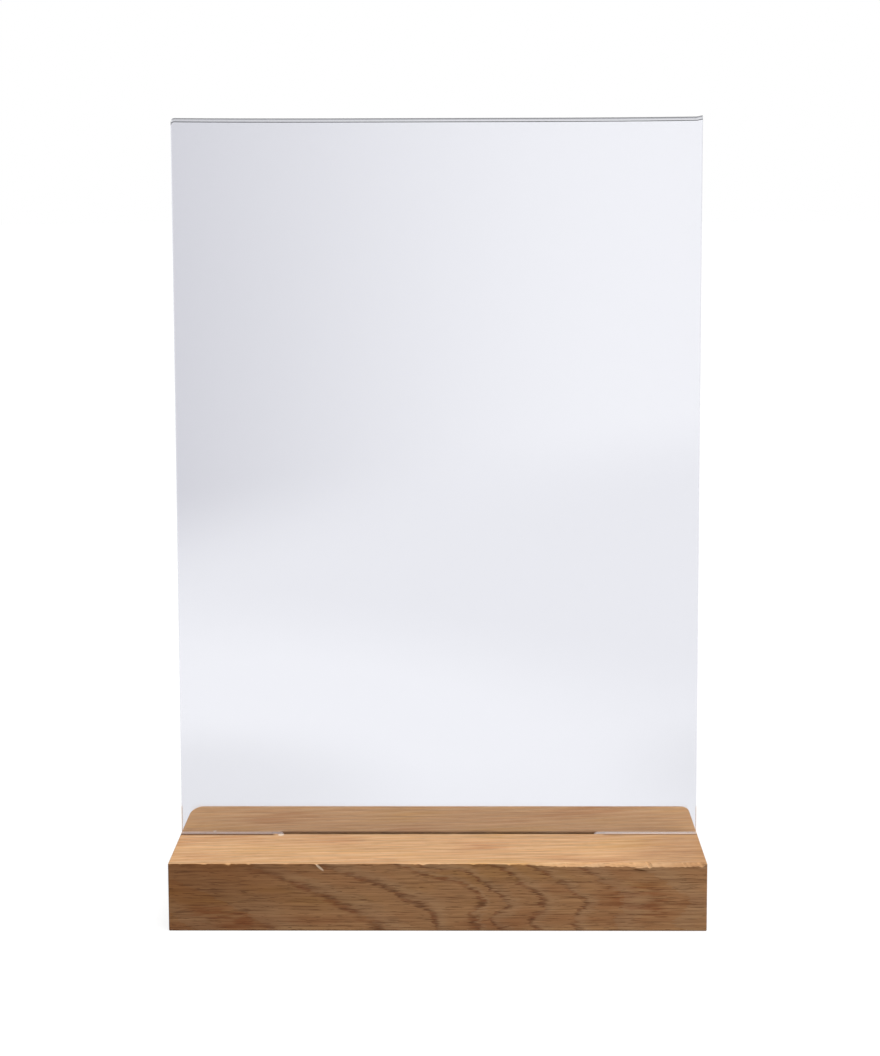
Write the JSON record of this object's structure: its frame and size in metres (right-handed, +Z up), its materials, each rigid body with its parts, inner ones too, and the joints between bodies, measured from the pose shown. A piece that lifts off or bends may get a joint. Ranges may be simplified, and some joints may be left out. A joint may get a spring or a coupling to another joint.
{
  "type": "sign holder",
  "caption": "Free-standing sign holder: a solid oak block with a slot in its top and a clear folded acrylic sleeve that stands in it and takes an upright A4 sheet.",
  "frame": {"origin": "middle of the block's underside, on the surface that it stands on", "axes": "+Z up, the front of the sign towards -Y, +X to the right as seen from the front"},
  "size_m": [0.217, 0.08, 0.327],
  "materials": {
    "oak": "fine-sanded and oiled oak, matt",
    "clear_acrylic": "clear cast acrylic, polished faces and glossy laser-cut edges"
  },
  "bodies": {
    "base": {"oak_base": "oak"},
    "sleeve": {"sleeve_front_leaf": "clear_acrylic", "sleeve_rear_leaf": "clear_acrylic", "sleeve_fold": "clear_acrylic"}
  },
  "joints": [
    {"name": "sleeve_lift", "type": "slide", "parent": "base", "child": "sleeve", "axis": [0, 0, 1], "range_m": [0, 0.03]}
  ]
}
